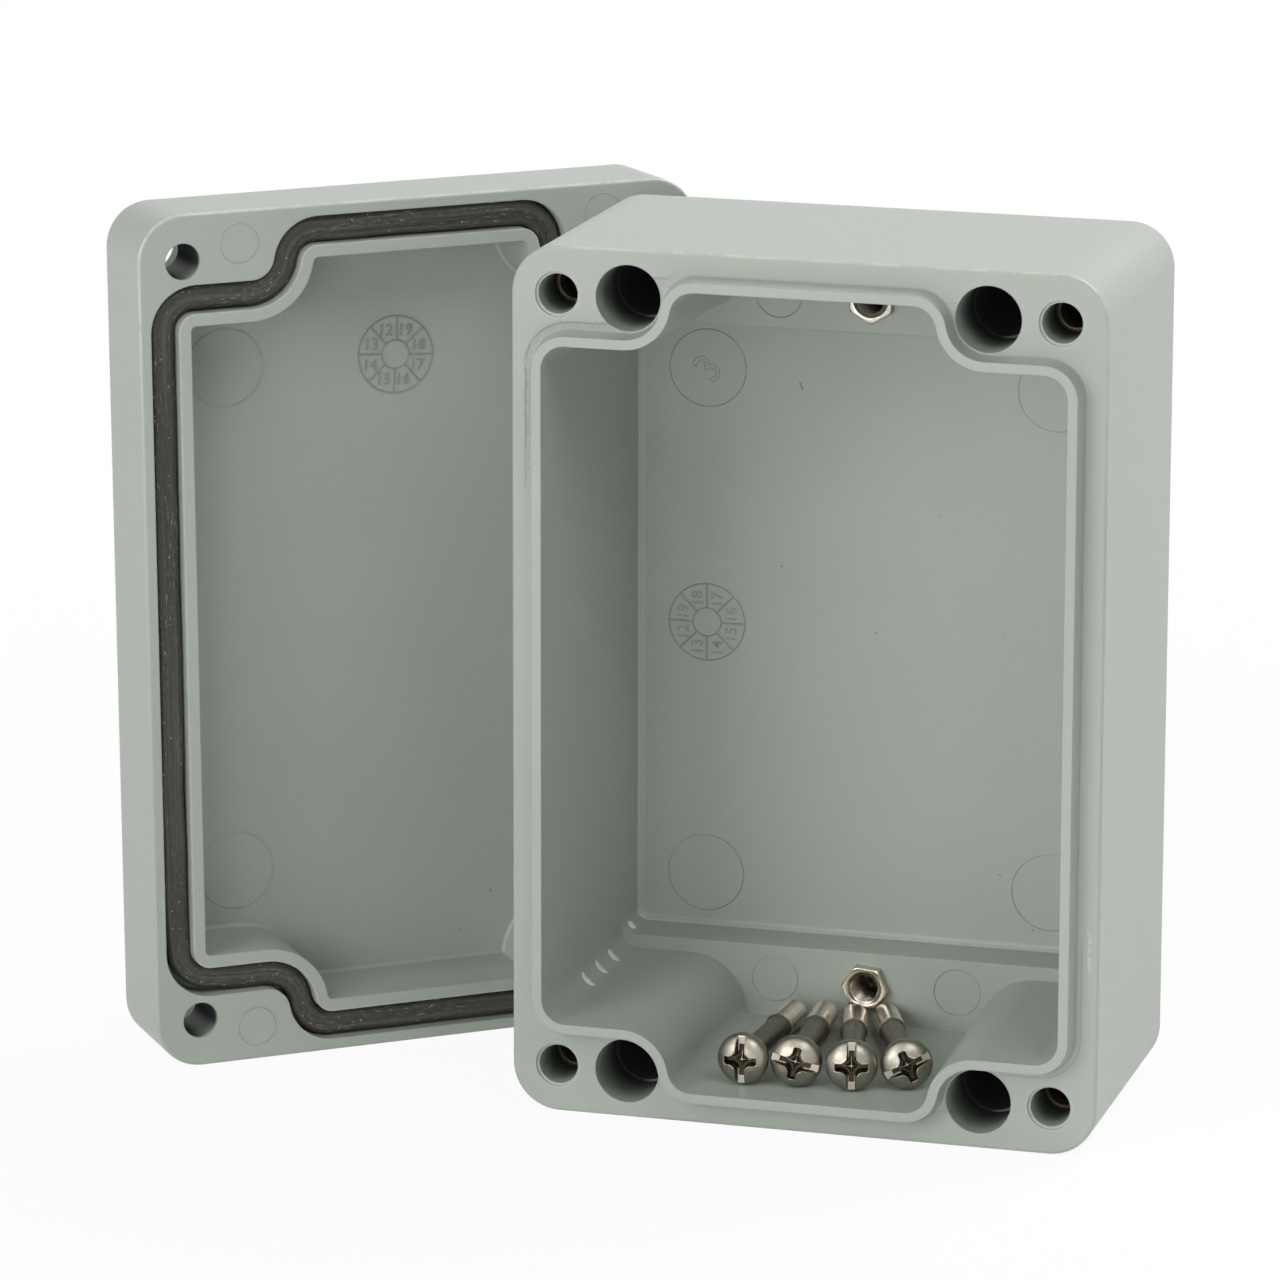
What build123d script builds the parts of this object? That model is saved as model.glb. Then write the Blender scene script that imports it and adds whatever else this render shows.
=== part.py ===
from math import atan, atan2, cos, degrees, radians, sin, sqrt, tan
import os

from build123d import *

# Case outline and depths
case_width = 74.7
case_length = 110.0
base_depth = 40.0
lid_depth = 15.0
case_corner = 6.0
rim_edge_round = 0.4
base_draft = 0.6
base_back_round = 2.1
lid_draft = 1.3
lid_face_round = 1.5

# Inner outline that the base's tongue and the lid's groove share, given at the inner edge of the tongue
rim_wall = 4.45
bay_corner = 3.0
boss_round = 6.0

# Tongue on the rim of the base
tongue_height = 2.4
tongue_root = 1.65
tongue_top = 1.25

# Inside of the base
wall_draft = 1.9
base_floor = 3.6
ledge_depth = 29.8
ledge_reach = 14.84
well_corner = 1.6
well_round = 0.8

# Inside of the lid and its groove, as distances inwards or outwards from the shared outline
lid_floor = 3.5
lid_rim_inner = 2.3
lid_wall_draft = 1.0
lid_floor_round = 0.5
groove_inner = 0.7
groove_outer = 2.95
groove_depth = 4.2

# Gasket
gasket_clearance = 0.15
gasket_below_rim = 1.0
gasket_lip_height = 0.7
gasket_lip_width = 0.75
gasket_rib_width = 0.6

# Corner holes, from the outside of the case at the rim
hole_inset_z = 6.0
fixing_inset_x = 14.85
screw_inset_x = 5.85
fixing_mouth = 8.2
fixing_mouth_depth = 9.3
fixing_bore = 7.7
fixing_floor = 6.0
fixing_hole = 5.0
screw_hole = 5.0
screw_hole_mouth = 5.7
screw_mouth_depth = 0.4
lid_hole = 4.6
lid_head_bore = 7.5
lid_head_bore_depth = 6.0

# Threaded insert of a lid screw, deep in its hole
screw_insert_depth = 8.0
screw_insert_length = 8.0
screw_insert_thread = 2.9
screw_insert_groove = 4.4
screw_insert_groove_width = 1.6
screw_insert_chamfer = 0.55

# Hexagonal mounting-plate inserts on the two ledges
plate_insert_flats = 5.4
plate_insert_length = 8.0
plate_insert_proud = 1.2
plate_insert_thread = 3.3
plate_insert_mouth = 4.4
plate_insert_thread_depth = 7.0
plate_insert_x = 0.5
plate_insert_inset_z = 10.4
plate_insert_upper_turn = 30.0
plate_insert_lower_turn = -5.6

# Lid screws
screw_head = 6.5
screw_head_height = 2.4
screw_head_side = 0.5
screw_length = 23.1
screw_waist = 3.0
screw_thread = 3.5
screw_thread_length = 7.5
screw_tip_chamfer = 0.5
screw_neck_taper = 0.5
slot_width = 1.0
slot_depth = 1.25
cross_span = 4.05
cross_arm = 0.95
cross_depth = 1.75

# Loose screws on the base's lower inner wall: x of the tip, its height above the ledge, heading, slot angle
screw_places = [
    (-8.04, 3.11, 0.8, 90.0),
    (-4.21, 2.44, -6.0, -13.0),
    (-0.27, 2.77, -13.7, 90.0),
    (3.46, 1.40, -20.7, 25.0),
]
screw_rest_gap = 0.03

# Lid standing turned behind the base's left edge
lid_turn = 37.96
lid_tuck = 12.75
lid_gap = 0.2

# Values worked out from the sizes above
fixing_x = case_width / 2 - fixing_inset_x
screw_x = case_width / 2 - screw_inset_x
hole_z = case_length / 2 - hole_inset_z
plate_insert_z = case_length / 2 - plate_insert_inset_z

FRONT = Plane(origin=(0, -base_depth, 0), x_dir=(1, 0, 0), z_dir=(0, -1, 0))
TONGUE_TOP = FRONT.offset(tongue_height)
LEDGE = FRONT.offset(-ledge_depth)


def standing_lid_plane():
    """Mating face of the lid, which stands on its drafted end, turned and tucked behind the base."""
    turn = radians(lid_turn)
    facing = Vector(sin(turn), -cos(turn))
    along = Vector(cos(turn), sin(turn))
    back_half_width = case_width / 2 - base_depth * tan(radians(base_draft))
    corner = Vector(base_back_round - back_half_width, -base_back_round)
    foot = corner - facing * (base_back_round + lid_gap) - along * (case_width / 2 - lid_tuck)
    floor_rise = (foot.Y + base_depth) * tan(radians(base_draft))
    stand = Pos(foot.X, foot.Y, floor_rise - case_length / 2) * Rot(X=base_draft)
    upright = stand * Rot(Z=lid_turn) * Rot(X=-lid_draft)
    return Plane(upright * Pos(Z=case_length / 2) * Rot(X=90))


LID = standing_lid_plane()
LID_FACE = Plane(origin=LID.offset(-lid_depth).origin, x_dir=-LID.x_dir, z_dir=-LID.z_dir)


def rim_outline(growth):
    """Outline with a boss in each corner, moved outwards by growth: its arcs keep their centres."""
    side = case_width / 2 - rim_wall + growth
    end = case_length / 2 - rim_wall + growth
    shelf = hole_z - boss_round + growth
    corner = bay_corner + growth
    boss = boss_round - growth
    drop = hole_z - (end - corner)
    reach = sqrt((boss + corner) ** 2 - drop**2)
    turn = degrees(atan2(drop, reach))
    with BuildSketch() as outline:
        with BuildLine():
            Line((side, 0), (side, shelf - corner))
            CenterArc((side - corner, shelf - corner), corner, 0, 90)
            Line((side - corner, shelf), (fixing_x, shelf))
            CenterArc((fixing_x, hole_z), boss, 270, turn - 90)
            CenterArc((fixing_x - reach, end - corner), corner, turn, 90 - turn)
            Line((fixing_x - reach, end), (0, end))
            mirror(about=Plane.YZ)
            mirror(about=Plane.XZ)
        make_face()
    return outline.sketch


def rim_band(inner, outer):
    """Closed band between two growths of the outline."""
    with BuildSketch() as band:
        add(rim_outline(outer))
        add(rim_outline(inner), mode=Mode.SUBTRACT)
    return band.sketch


def case_block(plane, depth, draft_angle):
    """Drafted block with the case's outline on the plane, narrowing behind it."""
    inset = depth * tan(radians(draft_angle))
    with BuildPart() as block:
        with BuildSketch(plane):
            RectangleRounded(case_width, case_length, case_corner)
        with BuildSketch(plane.offset(-depth)):
            RectangleRounded(case_width - 2 * inset, case_length - 2 * inset, case_corner - inset)
        loft(ruled=True)
    return block.part


def bay(plane, growth, depth, draft_angle):
    """Drafted hollow with the corner-boss outline on the plane."""
    with BuildPart() as hollow:
        with BuildSketch(plane):
            add(rim_outline(growth))
        with BuildSketch(plane.offset(-depth)):
            add(rim_outline(growth - depth * tan(radians(draft_angle))))
        loft(ruled=True)
    return hollow.part


# Hollow of the base: a bay down to the ledges, and a deeper well between them
base_bay = bay(TONGUE_TOP, 0, tongue_height + ledge_depth, wall_draft)
well_depth = base_depth - base_floor - ledge_depth
ledge_inset = (tongue_height + ledge_depth) * tan(radians(wall_draft))
floor_inset = well_depth * tan(radians(wall_draft))
well_width = case_width - 2 * (rim_wall + ledge_inset)
well_length = case_length - 2 * ledge_reach

with BuildPart() as base_well:
    with BuildSketch(LEDGE):
        RectangleRounded(well_width, well_length, well_corner)
    with BuildSketch(LEDGE.offset(-well_depth)):
        RectangleRounded(
            well_width - 2 * floor_inset, well_length - 2 * floor_inset, well_corner - floor_inset
        )
    loft(ruled=True)
    fillet(base_well.faces().sort_by(Axis.Y)[-1].edges(), well_round)

with BuildPart() as base_shell:
    add(case_block(FRONT, base_depth, base_draft))
    fillet(base_shell.faces().sort_by(Axis.Y)[-1].edges(), base_back_round)
    fillet(base_shell.faces().sort_by(Axis.Y)[0].edges(), rim_edge_round)
    with BuildSketch(FRONT):
        add(rim_outline(tongue_root))
    with BuildSketch(TONGUE_TOP):
        add(rim_outline(tongue_top))
    loft(ruled=True)
    add(base_bay, mode=Mode.SUBTRACT)
    add(base_well.part, mode=Mode.SUBTRACT)
    with Locations(FRONT):
        with GridLocations(2 * fixing_x, 2 * hole_z, 2, 2):
            Hole(fixing_mouth / 2, depth=fixing_mouth_depth)
            CounterBoreHole(fixing_hole / 2, fixing_bore / 2, base_depth - fixing_floor)
        with GridLocations(2 * screw_x, 2 * hole_z, 2, 2):
            CounterBoreHole(
                screw_hole / 2, screw_hole_mouth / 2, screw_mouth_depth,
                depth=screw_insert_depth + screw_insert_length,
            )
    for side, turn in ((1, plate_insert_upper_turn), (-1, plate_insert_lower_turn)):
        with BuildSketch(LEDGE):
            with Locations((plate_insert_x, side * plate_insert_z)):
                RegularPolygon(plate_insert_flats / 2, 6, major_radius=False, rotation=turn)
        extrude(amount=plate_insert_proud - plate_insert_length, mode=Mode.SUBTRACT)
base_shell.part.label = "base_shell"

# Lid: a shallow shell with a groove for the tongue and the gasket in its rim
lid_bay = bay(LID, -lid_rim_inner, lid_depth - lid_floor, lid_wall_draft)

with BuildPart() as lid_hollow:
    add(lid_bay)
    fillet(lid_hollow.faces().sort_by(Axis(LID.origin, -LID.z_dir))[-1].edges(), lid_floor_round)

with BuildPart() as lid_shell:
    add(case_block(LID, lid_depth, lid_draft))
    lid_outwards = Axis(LID.origin, -LID.z_dir)
    fillet(lid_shell.faces().sort_by(lid_outwards)[-1].edges(), lid_face_round)
    fillet(lid_shell.faces().sort_by(lid_outwards)[0].edges(), rim_edge_round)
    add(lid_hollow.part, mode=Mode.SUBTRACT)
    with BuildSketch(LID):
        add(rim_band(-groove_inner, groove_outer))
    extrude(amount=-groove_depth, mode=Mode.SUBTRACT)
    with Locations(LID_FACE):
        with GridLocations(2 * screw_x, 2 * hole_z, 2, 2):
            CounterBoreHole(lid_hole / 2, lid_head_bore / 2, lid_head_bore_depth)
lid_shell.part.label = "lid_shell"

# Gasket lying in the groove, with a lip along each edge and a rib between two channels
gasket_inner = gasket_clearance - groove_inner
gasket_outer = groove_outer - gasket_clearance
rib_inner = (gasket_inner + gasket_outer - gasket_rib_width) / 2
GASKET_SEAT = LID.offset(-groove_depth)
GASKET_TOP = LID.offset(-gasket_below_rim)

with BuildPart() as gasket:
    with BuildSketch(GASKET_SEAT):
        add(rim_band(gasket_inner, gasket_outer))
    extrude(amount=groove_depth - gasket_below_rim)
    with BuildSketch(GASKET_TOP):
        add(rim_band(gasket_inner + gasket_lip_width, rib_inner))
        add(rim_band(rib_inner + gasket_rib_width, gasket_outer - gasket_lip_width))
    extrude(amount=-gasket_lip_height, mode=Mode.SUBTRACT)
gasket.part.label = "gasket"


def screw_insert(plane):
    """Brass insert with its mouth on the plane and a waist between its two knurled bands."""
    radius = screw_hole / 2
    bore = screw_insert_thread / 2
    waist = screw_insert_groove / 2
    waist_top = (screw_insert_groove_width - screw_insert_length) / 2
    waist_end = waist_top - screw_insert_groove_width
    with BuildPart() as insert:
        with BuildSketch(Plane(origin=plane.origin, x_dir=plane.x_dir, z_dir=-plane.y_dir)):
            with BuildLine():
                Polyline(
                    (bore + screw_insert_chamfer, 0), (radius, 0), (radius, waist_top), (waist, waist_top),
                    (waist, waist_end), (radius, waist_end), (radius, -screw_insert_length),
                    (bore, -screw_insert_length), (bore, -screw_insert_chamfer), close=True,
                )
            make_face()
        revolve(axis=Axis(plane.origin, plane.z_dir))
    return insert.part


def plate_insert(turn, side):
    """Hexagonal insert standing proud of a ledge, with a countersunk blind thread."""
    top = LEDGE.offset(plate_insert_proud)
    with BuildPart() as insert:
        with BuildSketch(top):
            with Locations((plate_insert_x, side * plate_insert_z)):
                RegularPolygon(plate_insert_flats / 2, 6, major_radius=False, rotation=turn)
        extrude(amount=-plate_insert_length)
        with Locations(top):
            with Locations((plate_insert_x, side * plate_insert_z)):
                CounterSinkHole(
                    plate_insert_thread / 2, plate_insert_mouth / 2,
                    depth=plate_insert_thread_depth, counter_sink_angle=90,
                )
    return insert.part


def resting_screw_plane(tip_x, tip_rise, heading, slot_angle):
    """Plane on the underside of a head: the rim of the head and the tip both touch the drafted wall."""
    tip_reach = screw_length - screw_tip_chamfer
    nose_down = degrees(atan((screw_head - screw_thread) / 2 / tip_reach))
    wall_rise = degrees(atan(tan(radians(wall_draft)) * cos(radians(heading))))
    dip = radians(wall_rise - nose_down)
    turn = radians(heading)
    towards_tip = Vector(sin(turn) * cos(dip), cos(turn) * cos(dip), sin(dip))
    head_x = tip_x - screw_length * towards_tip.X
    head_depth = ledge_depth - tip_rise - screw_length * towards_tip.Y
    wall = rim_wall + (head_depth + tongue_height) * tan(radians(wall_draft)) - case_length / 2
    lift = (screw_head / 2 + screw_rest_gap) / cos(radians(wall_rise))
    origin = Vector(head_x, head_depth - base_depth, wall + lift)
    across = Vector(cos(turn), -sin(turn), 0)
    level = Plane(origin=origin, x_dir=across, z_dir=-towards_tip)
    return Plane(level.location * Rot(Z=slot_angle))


def lid_screw(plane):
    """Pan-head screw with a slot across a cross recess, a thin waist and a threaded end."""
    head = screw_head / 2
    waist = screw_waist / 2
    thread = screw_thread / 2
    tip = thread - screw_tip_chamfer
    thread_start = screw_thread_length - screw_length
    with BuildPart() as screw:
        with BuildSketch(Plane(origin=plane.origin, x_dir=plane.x_dir, z_dir=-plane.y_dir)):
            with BuildLine():
                dome = EllipticalCenterArc(
                    (0, screw_head_side), head, screw_head_height - screw_head_side, arc_size=90
                )
                Polyline(
                    dome @ 0, (head, 0), (thread, 0), (thread, -screw_neck_taper),
                    (waist, -2 * screw_neck_taper), (waist, thread_start + screw_neck_taper),
                    (thread, thread_start), (thread, screw_tip_chamfer - screw_length),
                    (tip, -screw_length), (0, -screw_length), dome @ 1,
                )
            make_face()
        revolve(axis=Axis(plane.origin, plane.z_dir))
        with BuildSketch(plane.offset(screw_head_height)):
            Rectangle(screw_head, slot_width)
        extrude(amount=-slot_depth, mode=Mode.SUBTRACT)
        with BuildSketch(plane.offset(screw_head_height)):
            Rectangle(cross_span, cross_arm)
            Rectangle(cross_arm, cross_span)
        extrude(amount=-cross_depth, mode=Mode.SUBTRACT)
    return screw.part


nodes = [base_shell.part, lid_shell.part, gasket.part]

INSERT_MOUTHS = FRONT.offset(-screw_insert_depth)
insert_corners = [(-1, 1), (1, 1), (-1, -1), (1, -1)]
for number, (across, up) in enumerate(insert_corners, start=1):
    mouth = Plane(
        origin=INSERT_MOUTHS.from_local_coords((across * screw_x, up * hole_z, 0)),
        x_dir=FRONT.x_dir, z_dir=FRONT.z_dir,
    )
    insert = screw_insert(mouth)
    insert.label = f"lid_screw_insert_{number}"
    nodes.append(insert)

for name, turn, side in (("upper", plate_insert_upper_turn, 1), ("lower", plate_insert_lower_turn, -1)):
    insert = plate_insert(turn, side)
    insert.label = f"plate_insert_{name}"
    nodes.append(insert)

for number, place in enumerate(screw_places, start=1):
    screw = lid_screw(resting_screw_plane(*place))
    screw.label = f"lid_screw_{number}"
    nodes.append(screw)

os.makedirs("parts", exist_ok=True)
for node in nodes:
    export_step(node, f"parts/{node.label}.step")
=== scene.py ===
from math import asin, atan, atan2, cos, degrees, dist, pi, radians, sin, sqrt, tan

import bpy
import numpy as np
from bpy.props import FloatProperty, FloatVectorProperty, PointerProperty
from bpy.types import Operator, Panel, PropertyGroup
from mathutils import Matrix, Vector


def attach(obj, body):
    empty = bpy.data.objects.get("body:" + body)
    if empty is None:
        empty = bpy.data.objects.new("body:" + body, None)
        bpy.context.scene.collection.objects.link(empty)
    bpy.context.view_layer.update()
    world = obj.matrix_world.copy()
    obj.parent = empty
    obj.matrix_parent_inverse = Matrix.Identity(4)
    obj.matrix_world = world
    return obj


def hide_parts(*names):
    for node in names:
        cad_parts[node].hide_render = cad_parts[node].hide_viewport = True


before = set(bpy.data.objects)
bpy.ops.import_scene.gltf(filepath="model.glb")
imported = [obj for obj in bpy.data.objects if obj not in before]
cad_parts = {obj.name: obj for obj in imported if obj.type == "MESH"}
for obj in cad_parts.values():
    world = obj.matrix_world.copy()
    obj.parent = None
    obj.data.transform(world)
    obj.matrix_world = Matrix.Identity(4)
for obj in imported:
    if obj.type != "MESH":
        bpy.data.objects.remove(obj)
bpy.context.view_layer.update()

bl_info = {
    "name": "Polyester Enclosure Dressing",
    "version": (1, 0, 0),
    "blender": (4, 5, 0),
    "location": "View3D > Sidebar > Enclosure",
    "description": "Finishes an open moulded enclosure: case, gasket, screws, inserts, marks and studio",
    "category": "Object",
}

MM = 0.001

# Outer sizes of the case and the lid's stance, in millimetres and degrees
CASE_WIDTH = 74.7
CASE_LENGTH = 110.0
CASE_CORNER = 6.0
BASE_DEPTH = 40.0
BASE_DRAFT = 0.6
BASE_BACK_ROUND = 2.1
LID_DRAFT = 1.3
LID_TURN = 37.96
LID_TUCK = 12.75
LID_GAP = 0.2

# Wall and tongue at the base's rim, the draft of the base's bay, and depths below the two rims
RIM_WALL = 4.45
TONGUE_HEIGHT = 2.4
WALL_DRAFT = radians(1.9)
LEDGE_DEPTH = 29.8
BASE_FLOOR = 36.4
LID_FLOOR = 11.5


def standing_lid_rim():
    """Rim frame of the lid, which stands on its drafted end, turned and tucked behind the base's edge."""
    turn = radians(LID_TURN)
    facing = np.array((sin(turn), -cos(turn), 0.0))
    along = np.array((cos(turn), sin(turn), 0.0))
    slope = tan(radians(BASE_DRAFT))
    corner = np.array((BASE_BACK_ROUND + BASE_DEPTH * slope - CASE_WIDTH / 2, -BASE_BACK_ROUND, 0.0))
    foot = corner - facing * (BASE_BACK_ROUND + LID_GAP) - along * (CASE_WIDTH / 2 - LID_TUCK)
    foot[2] = (foot[1] + BASE_DEPTH) * slope - CASE_LENGTH / 2
    lean = Matrix.Rotation(radians(BASE_DRAFT), 3, "X") @ Matrix.Rotation(turn, 3, "Z")
    across, inwards, up = np.array(lean @ Matrix.Rotation(radians(-LID_DRAFT), 3, "X")).T
    return foot + up * CASE_LENGTH / 2, np.array((across, up, -inwards))


# Frames in millimetres, as origin and axes: the row's own, and the two open rims, whose axes go across, along
# the case and out of the rim
ROW_FRAME = (np.zeros(3), np.eye(3))
BASE_RIM = (
    np.array((0.0, -BASE_DEPTH, 0.0)),
    np.array(((1.0, 0.0, 0.0), (0.0, 0.0, 1.0), (0.0, -1.0, 0.0))),
)
LID_RIM = standing_lid_rim()

# Shared outline of tongue and groove: half width, half length, shelf height and the two arc radii
OUTLINE_SIDE = 32.9
OUTLINE_END = 50.55
OUTLINE_SHELF = 43.0
OUTLINE_CORNER = 3.0
BOSS_X = 22.5
BOSS_Y = 49.0
BOSS_RADIUS = 6.0

# From the boss centre to the centre of the next corner arc, along and across the case
ARC_DROP = BOSS_Y - (OUTLINE_END - OUTLINE_CORNER)
ARC_REACH = sqrt((BOSS_RADIUS + OUTLINE_CORNER) ** 2 - ARC_DROP**2)

# Bores and screw holes at the corners: places across and along the case, radii, and depth of the bores' step
BORE_PLACE = (BOSS_X, BOSS_Y)
BORE_RADIUS = 4.1
BORE_STEP = 9.3
HOLE_PLACE = (31.5, 49.0)
HOLE_RADIUS = 2.5


def placed(points, rim):
    """Points given across, along and out of a rim, as points of the row frame in metres."""
    origin, axes = rim
    return (points @ axes + origin) * MM


# Meshes


def mesh_object(name, vertices, faces, smooth, *materials):
    """Object with a mesh of those vertices and faces, at the origin, and its materials."""
    mesh = bpy.data.meshes.new(name)
    mesh.from_pydata(vertices.tolist(), [], faces)
    mesh.polygons.foreach_set("use_smooth", [smooth] * len(mesh.polygons))
    mesh.update()
    for material in materials:
        mesh.materials.append(material)
    made = bpy.data.objects.new(name, mesh)
    bpy.context.scene.collection.objects.link(made)
    return made


def grid_faces(rows, columns, close_rows=False, close_columns=True, start=0):
    """Quads between neighbours of a grid of rows x columns, wrapped round where it is closed."""
    r, c = np.indices((rows - (not close_rows), columns - (not close_columns)))
    r1, c1 = (r + 1) % rows, (c + 1) % columns
    quads = np.stack([r * columns + c, r * columns + c1, r1 * columns + c1, r1 * columns + c], -1)
    return quads.reshape(-1, 4) + start


def joined(parts):
    """Vertices and faces of several (vertices, faces) pairs as one pair."""
    vertices, faces, start = [], [], 0
    for points, polygons in parts:
        vertices.append(points)
        faces.extend([[v + start for v in polygon] for polygon in polygons])
        start += len(points)
    return np.concatenate(vertices), faces


def capped(points, rows, columns):
    """Points and faces of a closed section carried along some rows, with a face at either end."""
    faces = grid_faces(rows, columns).tolist()
    size = rows * columns
    return points, faces + [list(range(columns))[::-1], list(range(size - columns, size))]


def fan(first, second, centre):
    """Triangles from each pair of neighbours to one centre point."""
    return np.stack([first, second, np.full(len(first), centre)], 1)


def polar(r, angle, z, centre=(0.0, 0.0)):
    """Points at radius r and that angle round an upright axis through the centre, at height z."""
    x, y = centre[0] + r * np.cos(angle), centre[1] + r * np.sin(angle)
    return np.stack([x, y, np.broadcast_to(z, x.shape)], -1).reshape(-1, 3)


def bell(distance, width):
    """Bell curve, exp(-(distance / width)^2)."""
    return np.exp(-((distance / width) ** 2))


def ridge_profile(width, height, count=7):
    """Closed section of a low ridge: half an ellipse standing on a base sunk a little into the wall."""
    turn = np.linspace(0.0, pi, count)
    arch = np.stack([width / 2 * np.cos(turn), height * np.sin(turn)], 1)
    foot = np.array(((-width / 2, -0.03), (width / 2, -0.03)))
    return np.concatenate([arch, foot])


def ridge_ring(centre, radius, width, height, count=96):
    """Round ridge: the section turned about the centre, r = radius + section x, z = section y."""
    section = ridge_profile(width, height)
    turn = np.linspace(0, 2 * pi, count, endpoint=False)[:, None]
    points = polar(radius + section[:, 0], turn, section[:, 1], centre)
    return points, grid_faces(count, len(section), True).tolist()


def ridge_bar(start, end, width, height):
    """Straight ridge: the section carried from start to end, and closed at both ends."""
    section = ridge_profile(width, height)
    start, end = np.array(start, float), np.array(end, float)
    along = (end - start) / np.linalg.norm(end - start)
    side = np.array((along[1], -along[0]))
    rows = [np.concatenate([place + section[:, :1] * side, section[:, 1:]], 1) for place in (start, end)]
    return capped(np.concatenate(rows), 2, len(section))


def spindle(centre, radius, first, last, depth, width, rise, count=17, sides=12):
    """Lens-shaped ridge bent round a corner of the bay.

    At share t from -1 to 1 its middle is on the arc of that radius, between the angles first and last. Its
    section is an ellipse of half width and rise times sqrt(1 - t^2).
    """
    t = np.sin(np.linspace(-pi / 2, pi / 2, count))[:, None]
    around = np.linspace(0, 2 * pi, sides, endpoint=False)
    angle = np.radians((first + last) / 2 + t * (last - first) / 2)
    swell = np.sqrt(np.clip(1 - t**2, 0.0004, 1))
    r = radius - rise * swell * np.sin(around)
    level = -depth + width * swell * np.cos(around)
    return capped(polar(r, angle, level, centre), count, sides)


def numeral(text, centre, size, height, turn=0.0, outlined=False):
    """Raised number, a thin plate or a round bead along its contour, turned and centred on its place."""
    curve = bpy.data.curves.new("numeral", "FONT")
    curve.body = text
    curve.size = size
    if outlined:
        curve.fill_mode = "NONE"
        curve.bevel_depth = height
        curve.bevel_resolution = 1
    else:
        curve.extrude = height
        curve.offset = size * 0.012
    curve.resolution_u = 4
    curve.align_x, curve.align_y = "CENTER", "CENTER"
    holder = bpy.data.objects.new("numeral", curve)
    flat = bpy.data.meshes.new_from_object(holder)
    points = np.empty(len(flat.vertices) * 3)
    flat.vertices.foreach_get("co", points)
    points = points.reshape(-1, 3)
    faces = [list(polygon.vertices) for polygon in flat.polygons]
    bpy.data.objects.remove(holder)
    bpy.data.curves.remove(curve)
    bpy.data.meshes.remove(flat)
    middle = (points.min(0) + points.max(0)) / 2
    c, s = cos(turn), sin(turn)
    x, y = points[:, 0] - middle[0], points[:, 1] - middle[1]
    return np.stack([centre[0] + c * x - s * y, centre[1] + s * x + c * y, points[:, 2]], 1), faces


def date_dial(centre, turn, ridge):
    """Mould date dial: two rings, eight spokes and the numbers 12 to 19 round it."""
    parts = [ridge_ring(centre, 5.0, 0.22, ridge), ridge_ring(centre, 1.85, 0.2, ridge, 48)]
    for sector in range(8):
        angle = turn + pi / 2 + sector * pi / 4
        out = np.array((cos(angle), sin(angle)))
        parts.append(ridge_bar(centre + 1.9 * out, centre + 4.95 * out, 0.28, ridge))
        middle = angle + pi / 8
        place = centre + 3.45 * np.array((cos(middle), sin(middle)))
        parts.append(numeral(str(12 + sector), place, 2.1, ridge * 0.8, turn))
    return parts


# Gasket


def outline_path(step=1.2, arc_step=7.0):
    """Closed path of the shared outline and its outward normals: lines and arcs of a quarter, mirrored twice.

    A point moved outwards by g is path + g * normal, because all arcs keep their centres.
    """
    turn = degrees(atan2(ARC_DROP, ARC_REACH))

    def line(start, end, normal):
        count = max(2, int(dist(start, end) / step) + 1)
        share = np.linspace(0, 1, count)[:, None]
        points = np.array(start) * (1 - share) + np.array(end) * share
        return np.hstack([points, np.tile(normal, (count, 1))])

    def arc(centre, radius, first, last, outwards):
        count = max(2, int(abs(last - first) / arc_step) + 1)
        angle = np.radians(np.linspace(first, last, count))
        ray = np.stack([np.cos(angle), np.sin(angle)], 1)
        return np.hstack([np.array(centre) + radius * ray, outwards * ray])

    side, end, shelf, corner = OUTLINE_SIDE, OUTLINE_END, OUTLINE_SHELF, OUTLINE_CORNER
    inner = BOSS_X - ARC_REACH
    runs = [
        line((side, 0), (side, shelf - corner), (1, 0)),
        arc((side - corner, shelf - corner), corner, 0, 90, 1),
        line((side - corner, shelf), (BOSS_X, shelf), (0, 1)),
        arc((BOSS_X, BOSS_Y), BOSS_RADIUS, 270, 180 + turn, -1),
        arc((inner, end - corner), corner, turn, 90, 1),
        line((inner, end), (0, end), (0, 1)),
    ]
    quarter = np.concatenate([runs[0], *(run[1:] for run in runs[1:])])
    half = np.concatenate([quarter, (quarter * (-1, 1, -1, 1))[::-1][1:]])
    path, normal = np.hsplit(np.concatenate([half, -half[1:-1]]), 2)
    return path, normal


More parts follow.
